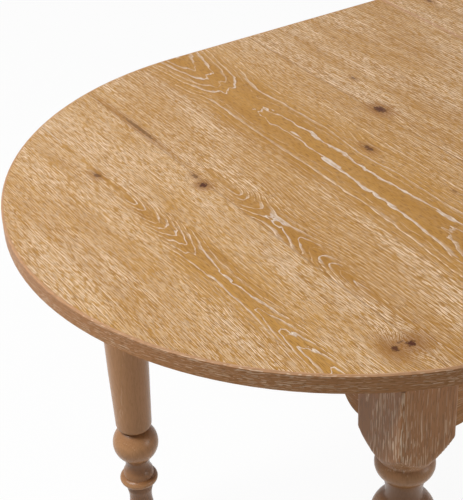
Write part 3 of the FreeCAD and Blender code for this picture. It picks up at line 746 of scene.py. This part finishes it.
# Turned work: a polyline of radii and heights is spun, and flats are cut where it leaves the blank
def makeTurningTree():
    inputs = [
        ("Geometry", "Geometry", None),
        ("Segments", "Int", 96),
        ("Sides", "Int", 4),
        ("Half Flat", "Float", 0.035),
        ("Corner Easing", "Float", 0.001),
        ("Corner Crowding", "Float", 0.6),
        ("Cut Direction", "Float", 0.0),
        ("Cut Distance", "Float", 1.0),  # so far out that nothing is cut
        ("Cut Above", "Float", 0.0),
        ("Place", "Vector", None),
        ("Material", "Material", None),
    ]
    tree, add, put = newTree("turnedFromBlank", "Geometry", inputs, [("Geometry", "Geometry")])
    # a grid with a column for each step round the axis, and a row for each point of the polyline
    source = {"Geometry": put["Geometry"]}
    count = add("AttributeDomainSize", source).outputs["Point Count"]
    columns = add("Math ADD", put["Segments"], 1.0)
    grid = add("MeshGrid", {"Vertices X": columns, "Vertices Y": count})
    index = add("InputIndex")
    column = add("Math FLOOR", add("Math DIVIDE", add("Math ADD", index, 0.5), count))
    row = add("Math SUBTRACT", index, add("Math MULTIPLY", column, count))
    where = {"Value": add("InputPosition"), "Index": row}
    split = add("SeparateXYZ", add("SampleIndex", source, where, data_type="FLOAT_VECTOR")).outputs
    # the steps crowd at the corners of the blank, whose flats and one more cut limit the radius
    turn = add("Math MULTIPLY", add("Math DIVIDE", column, put["Segments"]), 2 * math.pi)
    wave = add("Math SINE", add("Math MULTIPLY", turn, put["Sides"]))
    bunch = add("Math DIVIDE", put["Corner Crowding"], put["Sides"])
    angle = add("Math MULTIPLY_ADD", wave, bunch, turn)
    halfSide = add("Math DIVIDE", math.pi, put["Sides"])
    fromFace = add("Math WRAP", angle, halfSide, add("Math MULTIPLY", halfSide, -1.0))
    flat = add("Math DIVIDE", put["Half Flat"], add("Math COSINE", fromFace))
    corner = add("Math DIVIDE", put["Half Flat"], add("Math COSINE", halfSide))
    flat = add("Math MINIMUM", flat, add("Math SUBTRACT", corner, put["Corner Easing"]))
    towards = add("Math COSINE", add("Math SUBTRACT", angle, put["Cut Direction"]))
    cut = add("Math DIVIDE", put["Cut Distance"], add("Math MAXIMUM", towards, 0.01))
    below = add("Math LESS_THAN", split["Z"], put["Cut Above"])
    cut = add("Math ADD", cut, below)
    radius = add("Math MINIMUM", add("Math MINIMUM", split["X"], flat), cut)
    spunX, spunY = [add("Math MULTIPLY", radius, add(part, angle)) for part in ("Math COSINE", "Math SINE")]
    spun = add("CombineXYZ", spunX, spunY, split["Z"])
    shaped = add("SetPosition", {"Geometry": grid, "Position": spun})
    blank = {"Geometry": shaped, "Name": "blank", "Value": spun}
    kept = add("StoreNamedAttribute", blank, data_type="FLOAT_VECTOR", domain="POINT")
    placed = add("SetPosition", {"Geometry": kept, "Offset": put["Place"]})
    closed = add("MergeByDistance", {"Geometry": placed, "Distance": 0.002 * mm})
    return finished(tree, add, closed, put["Material"])


turningTree = makeTurningTree()


def runTree(name, tree, source, values, smoothAngle):
    holder = newPiece(name + "Source", source)
    modifier = holder.modifiers.new(name, "NODES")
    modifier.node_group = tree
    for item in tree.interface.items_tree:
        if item.item_type == "SOCKET" and item.in_out == "INPUT" and item.name in values:
            modifier[item.identifier] = values[item.name]
    bpy.context.view_layer.update()
    mesh = bpy.data.meshes.new_from_object(holder.evaluated_get(bpy.context.evaluated_depsgraph_get()))
    mesh.name = name
    bpy.data.objects.remove(holder)
    work = bmesh.new()
    work.from_mesh(mesh)
    bmesh.ops.recalc_face_normals(work, faces=work.faces)
    work.to_mesh(mesh)
    work.free()
    mesh.shade_smooth()
    mesh.set_sharp_from_angle(angle=math.radians(smoothAngle))
    return newPiece(name, mesh)


def wrapped(angle):
    return (angle + math.pi) % (2 * math.pi) - math.pi


# Points of a profile from its rows, heights before radii: a straight stretch gives where it ends, an
# arc its middle and end, and a ball the height of its centre, its radius, and its start and end height
def outline(rows, steps):
    points = []
    for row in rows:
        if row[0] == "arc":
            (z0, r0), (z1, r1), (z2, r2) = points[-1], row[1:3], row[3:]
            d = 2 * (z0 * (r1 - r2) + z1 * (r2 - r0) + z2 * (r0 - r1))
            a, b, c = z0 * z0 + r0 * r0, z1 * z1 + r1 * r1, z2 * z2 + r2 * r2
            centreZ = (a * (r1 - r2) + b * (r2 - r0) + c * (r0 - r1)) / d
            centreR = (a * (z2 - z1) + b * (z0 - z2) + c * (z1 - z0)) / d
            radius = math.hypot(z0 - centreZ, r0 - centreR)
            first, middle, last = [
                math.atan2(r - centreR, z - centreZ) for z, r in ((z0, r0), (z1, r1), (z2, r2))
            ]
            sweep = wrapped(middle - first) + wrapped(last - middle)
            for i in range(1, steps + 1):
                t = first + sweep * i / steps
                points.append((centreZ + radius * math.cos(t), centreR + radius * math.sin(t)))
        elif row[0] == "ball":
            centreZ, radius, *ends = row[1:]
            first, last = [math.acos(max(-1, min(1, (z - centreZ) / radius))) for z in ends]
            for i in range(2 * steps + 1):
                t = first + (last - first) * i / (2 * steps)
                points.append((centreZ + radius * math.cos(t), radius * math.sin(t)))
        else:
            points.append(row)
    return points


def polyline(name, points):
    edges = [(i, i + 1) for i in range(len(points) - 1)]
    return newMesh(name, [(r * mm, 0, z * mm) for z, r in points], edges)


# Legs: heights and radii in mm, from the top of the block down to the glide
legs = {
    "rows": (
        (727.0, 0.0), (727.0, 60.0), (642.0, 60.0), (642.0, 49.6),
        ("arc", 632.5, 42.6, 617.0, 31.4),
        (615.0, 31.0), (614.0, 28.8), (611.0, 28.4),
        ("arc", 600.0, 31.4, 587.0, 24.6),
        (586.0, 23.4),
        ("arc", 573.0, 20.0, 562.0, 19.5),
        (559.5, 19.6),
        ("ball", 530.0, 34.9, 558.5, 502.5),
        (502.0, 21.0), (500.5, 21.0), (500.5, 24.4),
        ("arc", 497.9, 30.8, 491.5, 33.4),
        (410.0, 32.4), (320.0, 30.6), (223.0, 27.4),
        ("arc", 216.9, 25.2, 213.7, 19.6),
        (210.5, 19.5),
        ("ball", 184.5, 34.9, 213.4, 163.5),
        ("arc", 142.5, 18.6, 129.5, 22.8),
        (120.9, 23.5),
        ("arc", 114.2, 29.4, 107.6, 24.2),
        (105.5, 19.3), (101.0, 19.3), (94.0, 20.1),
        ("arc", 79.0, 17.6, 62.0, 18.8),
        ("ball", 32.0, 24.5, 47.8, 14.0),
        (4.0, 15.0), (4.0, 0.0),
    ),
    "arcSteps": 10,
    "smoothAngle": 32,
    # what the turning tree takes, in metres: the cut is the flat behind the bracket
    "blank": {"Segments": 96, "Half Flat": 0.035, "Corner Easing": 0.0009, "Corner Crowding": 0.6,
              "Cut Distance": 0.041, "Cut Above": 0.642},
}


corners = [(x, y) for x in (-1, 1) for y in (-1, 1)]


# The corner's name, the middle and the way inwards of each leg
def legPlaces():
    for x, y in corners:
        name = ("near_" if y < 0 else "far_") + ("left" if x < 0 else "right")
        low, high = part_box("leg_" + name)
        yield name, (low + high) / 2, (-x, -y)


def makeLegs(leg):
    points = outline(leg["rows"], leg["arcSteps"])
    for name, middle, inwards in legPlaces():
        values = {
            **leg["blank"],
            "Cut Direction": math.atan2(inwards[1], inwards[0]),
            "Place": (middle.x, middle.y, 0),
            "Material": legOak,
        }
        profile = polyline("legOutline", points)
        piece = runTree("turnedLeg_" + name, turningTree, profile, values, leg["smoothAngle"])
        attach(piece, "frame")
        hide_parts("leg_" + name)


makeLegs(legs)
print("legs turned")


# Copies of a small template at the points of a mesh, turned to face along each point's attribute
def makeCopiesTree():
    inputs = [
        ("Geometry", "Geometry", None),
        ("Template", "Object", None),
        ("Seed", "Int", 3),
        ("Material", "Material", None),
    ]
    tree, add, put = newTree("copiesOnPoints", "Geometry", inputs, [("Geometry", "Geometry")])
    points = add("MeshToPoints", {"Mesh": put["Geometry"]})
    facing = add("InputNamedAttribute", {"Name": "facing"}, data_type="FLOAT_VECTOR")
    aligned = add("AlignRotationToVector", {"Vector": facing}, axis="Z")
    chance = add("RandomValue", {"Max": 2 * math.pi, "Seed": put["Seed"]}, data_type="FLOAT")
    spin = add("CombineXYZ", {2: chance.outputs[1]})
    turned = add("RotateRotation", {"Rotation": aligned, "Rotate By": spin}, rotation_space="LOCAL")
    template = add("GeometryNodeObjectInfo", {"Object": put["Template"]}).outputs["Geometry"]
    placed = add("InstanceOnPoints", {"Points": points, "Instance": template, "Rotation": turned})
    return finished(tree, add, placed, put["Material"])


copiesTree = makeCopiesTree()


def pointsMesh(name, spots):
    mesh = newMesh(name, [place for place, facing in spots])
    facing = mesh.attributes.new("facing", "FLOAT_VECTOR", "POINT")
    for datum, (place, direction) in zip(facing.data, spots):
        datum.vector = direction
    return mesh


# Pan head screws with a cross recess, measures in mm. Each ring gives the share of the head's radius
# and of its height.
screw = {
    "headRadius": 4.2,
    "headHeight": 1.8,
    "headRings": ((0.72, 0.86), (0.94, 0.5), (1.0, 0.0)),
    "recessArm": 2.3,
    "recessHalfWidth": 0.7,
    "recessDepth": 1.1,
    "recessFloor": 0.8,  # share of its width at the mouth
    "recessMouth": 0.97,  # share of the head's height
    "sides": 24,
}


def screwTemplate(s):
    sides, arm, half = s["sides"], s["recessArm"], s["recessHalfWidth"]
    turns = [2 * math.pi * (i + 0.5) / sides for i in range(sides)]
    recess = [min(arm, half / min(abs(math.sin(t)), abs(math.cos(t)))) for t in turns]
    rings = [
        ([s["recessFloor"] * r for r in recess], s["headHeight"] - s["recessDepth"]),
        (recess, s["headHeight"] * s["recessMouth"]),
    ]
    rings += [([s["headRadius"] * out] * sides, s["headHeight"] * up) for out, up in s["headRings"]]
    points = []
    for radii, z in rings:
        points += [(r * mm * math.cos(t), r * mm * math.sin(t), z * mm) for r, t in zip(radii, turns)]
    return ringPiece("screwTemplate", points, sides)


copies = {"seed": 3, "smoothAngle": 35}


def makeCopies(name, template, spots, body, *replaced):
    values = {"Template": template, "Seed": copies["seed"], "Material": zinc}
    piece = runTree(name, copiesTree, pointsMesh(name + "Points", spots), values, copies["smoothAngle"])
    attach(piece, body)
    if replaced:
        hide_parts(*replaced)


bracketFixing = {"flange": 26.0, "thickness": 2.5, "spread": 16.0}  # mm
railFixing = {"spread": 14.0}
runnerFixing = {"shares": (0.16, 0.5, 0.84)}  # along the part of the runner that is under its own half


def bracketSpots(b):
    low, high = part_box("corner_bracket_far_right")
    middle = (low.z + high.z) / 2
    onSide = (low.x + b["flange"] / 2 * mm, high.y - b["thickness"] * mm)
    onEnd = (high.x - b["thickness"] * mm, low.y + b["flange"] / 2 * mm)
    spots = []
    for sideX, sideY in corners:
        for z in (middle - b["spread"] * mm, middle + b["spread"] * mm):
            spots.append(((sideX * onSide[0], sideY * onSide[1], z), (0, -sideY, 0)))
            spots.append(((sideX * onEnd[0], sideY * onEnd[1], z), (-sideX, 0, 0)))
    return spots


def railSpots(r):
    spots = []
    for bearer in ("leaf_bearer_left", "leaf_bearer_right", "rail_bearer_left", "rail_bearer_right"):
        low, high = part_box(bearer)
        for rail in ("slide_rail_near", "slide_rail_far"):
            railLow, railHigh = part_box(rail)
            y = (railLow.y + railHigh.y) / 2
            for x in (-r["spread"], r["spread"]):
                spots.append((((low.x + high.x) / 2 + x * mm, y, low.z), (0, 0, -1)))
    return spots


def runnerSpots(end, r):
    spots = []
    for side in ("near", "far"):
        low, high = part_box("runner_" + end + "_" + side)
        middle = (low.y + high.y) / 2
        reach = high.x if end == "right" else low.x
        spots += [((share * reach, middle, low.z), (0, 0, -1)) for share in r["shares"]]
    return spots


template = screwTemplate(screw)
for name, spots, body in (
    ("bracketScrews", bracketSpots(bracketFixing), "frame"),
    ("railScrews", railSpots(railFixing), "frame"),
    ("runnerScrewsLeft", runnerSpots("left", runnerFixing), "top_left"),
    ("runnerScrewsRight", runnerSpots("right", runnerFixing), "top_right"),
):
    makeCopies(name, template, spots, body)
bpy.data.objects.remove(template)
print("screws placed")

# Leg bolts: a threaded stud in each hole of the block, with a hexagon nut drawn against the bracket.
# Places along the stud start where the leg is flattened and run inwards, all in mm.
stud = {
    "radius": 4.0,
    "root": 3.4,
    "pitch": 1.25,
    "inLeg": 38.0,
    "tail": 14.0,
    "endBevel": 0.6,
    "halfFlat": 20.0,  # wider than the stud, so no flats are cut
    "heights": (674.0, 704.0),  # above the floor
}
nut = {
    "halfFlat": 6.5,
    "rows": ((2.8, 3.6), (2.8, 6.9), (3.1, 7.6), (8.1, 7.6), (9.3, 6.175), (9.3, 4.0), (8.7, 3.6),
             (2.8, 3.6)),
}
boltTurning = {
    "blank": {"Segments": 48, "Sides": 6, "Corner Easing": 0.0, "Corner Crowding": 0.0},
    "smoothAngle": 32,
}


def studRows(s):
    rows = [(-s["inLeg"], 0.0), (-s["inLeg"], s["radius"]), (0.0, s["radius"])]
    for i in range(int(s["tail"] / s["pitch"]) - 1):
        rows.append(((i + 0.5) * s["pitch"], s["root"]))
        rows.append(((i + 1.0) * s["pitch"], s["radius"]))
    rows.append((s["tail"] - s["endBevel"], s["radius"]))
    return rows + [(s["tail"], s["root"]), (s["tail"], 0.0)]


def turnedTemplate(name, rows, halfFlat, b):
    values = {**b["blank"], "Half Flat": halfFlat * mm, "Material": zinc}
    profile = polyline(name + "Outline", outline(rows, 1))
    return runTree(name, turningTree, profile, values, b["smoothAngle"])


def boltSpots(s):
    spots = []
    for name, middle, inwards in legPlaces():
        inwards = Vector((*inwards, 0)).normalized()
        start = middle + inwards * legs["blank"]["Cut Distance"]
        spots += [((start.x, start.y, z * mm), inwards) for z in s["heights"]]
    return spots


for name, rows, halfFlat, replaced in (
    ("legStuds", studRows(stud), stud["halfFlat"], "leg_bolts"),
    ("legNuts", nut["rows"], nut["halfFlat"], "leg_nuts"),
):
    template = turnedTemplate(name + "Template", rows, halfFlat, boltTurning)
    makeCopies(name, template, boltSpots(stud), "frame", replaced)
    bpy.data.objects.remove(template)
print("leg bolts placed")

# Felt under the stored leaf: strips cut from pressed wool, soft at the cut edges, measures in mm
feltStrip = {
    "length": 300.0,
    "width": 30.0,
    "thickness": 2.0,
    "rounding": 0.8,
    "sharpest": 0.1,  # rounding of the end faces
    "roundSteps": 3,
    "crossings": 60,
    "waver": 0.006,  # share of the width that the cut edge strays
    "waves": ((0.41, 0.06), (1.13, -0.09)),  # radians in a mm, along and across
}


# Where the cross sections stand along the strip, and how much smaller each is all round
def feltRows(f):
    steps, count = f["roundSteps"], f["crossings"]
    turns = [math.pi / 2 * i / steps for i in range(steps)]
    insets = [f["rounding"] * (1 - math.sin(turn)) for turn in turns]
    ends = [f["length"] / 2 - f["rounding"] * (1 - math.cos(turn)) for turn in turns]
    flat = [((i / count - 0.5) * (f["length"] - 2 * f["rounding"]), 0.0) for i in range(count + 1)]
    rows = [(-y, inset) for y, inset in zip(ends, insets)] + flat
    return rows + [(y, inset) for y, inset in zip(ends, insets)][::-1]


def makeFeltStrip(name, bearer, f):
    low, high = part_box(bearer)
    middle = (low + high) / 2
    middle.z = high.z + f["thickness"] / 2 * mm
    points = []
    for y, inset in feltRows(f):
        corner = max(f["rounding"] - inset, f["sharpest"])
        for quarter, (sideX, sideZ) in enumerate(((1, 1), (-1, 1), (-1, -1), (1, -1))):
            for step in range(f["roundSteps"] + 1):
                turn = math.pi / 2 * (quarter + step / f["roundSteps"])
                x = sideX * (f["width"] / 2 - inset - corner) + corner * math.cos(turn)
                z = sideZ * (f["thickness"] / 2 - inset - corner) + corner * math.sin(turn)
                stray = sum(math.sin(along * y + across * x) for along, across in f["waves"])
                points.append(middle + Vector((x * (1 + f["waver"] * stray), y, z)) * mm)
    piece = ringPiece(name, points, 4 * (f["roundSteps"] + 1))
    piece.data.shade_smooth()
    dress(piece, felt)
    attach(piece, "frame")
    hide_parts("felt_strips")


makeFeltStrip("feltStripLeft", "leaf_bearer_left", feltStrip)
makeFeltStrip("feltStripRight", "leaf_bearer_right", feltStrip)
print("felt laid")

# Studio: a pale floor and a dim even surround. The camera sees both as nearly white, with the table's
# shadow faint on the floor.
studio = {
    "floorSize": 9.0,
    "floorGlow": 0.94,  # share of plain white that the camera sees for the lit floor
    "floorSeen": "#F6F6F5",
    "floorLit": "#C9C4BE",  # what bounces light up at the table
    "floorRoughness": 0.9,
    "surround": 0.08,
}


def seenRays(add):
    rays = add("LightPath").outputs
    seen = add("Math MAXIMUM", rays["Is Camera Ray"], rays["Is Glossy Ray"])
    return add("Math MAXIMUM", seen, rays["Is Transmission Ray"])


def makeStudio(s):
    half = s["floorSize"] / 2
    places = [(x * half, y * half, 0) for x, y in ((-1, -1), (1, -1), (1, 1), (-1, 1))]
    floor = newPiece("studioFloor", newMesh("studioFloor", places, faces=[(0, 1, 2, 3)]))
    material, add = newShader("paleFloorPaint")
    seen = seenRays(add)
    share = add("Math MULTIPLY", seen, s["floorGlow"])
    colour = coated(add, linear(s["floorLit"]), [(seen, s["floorSeen"])])
    paint = add("BsdfPrincipled", {"Base Color": colour, "Roughness": s["floorRoughness"]})
    add("OutputMaterial", {"Surface": add("MixShader", share, paint, add("Emission"))})
    dress(floor, material)

    world, add = newShader("whiteSurround", bpy.data.worlds)
    plain = {"Color": (1, 1, 1, 1)}
    dim, white = [add("Background", plain, {"Strength": light}) for light in (s["surround"], 1.0)]
    add("OutputWorld", {"Surface": add("MixShader", seenRays(add), dim, white)})
    bpy.context.scene.world = world


# A large soft lamp high over the left end, a little to the far side, and a weak one low on the near
# right. Places and sizes in metres, power in watts.
lamps = {
    "keyLamp": {"place": (-2.7, 1.0, 4.3), "aim": (0, 0, 0.75), "size": 1.9, "power": 207},
    "fillLamp": {"place": (1.9, -3.2, 0.7), "aim": (-0.3, 0, 0.6), "size": 1.3, "power": 27},
}


def makeLamp(name, lamp):
    light = bpy.data.lights.new(name, "AREA")
    light.size = lamp["size"]
    light.energy = lamp["power"]
    piece = newPiece(name, light)
    place = Vector(lamp["place"])
    turn = (Vector(lamp["aim"]) - place).to_track_quat("-Z", "Y")
    piece.matrix_world = Matrix.Translation(place) @ turn.to_matrix().to_4x4()


makeStudio(studio)
for name, lamp in lamps.items():
    makeLamp(name, lamp)
bpy.context.scene.view_settings.view_transform = "Standard"
print("studio set")
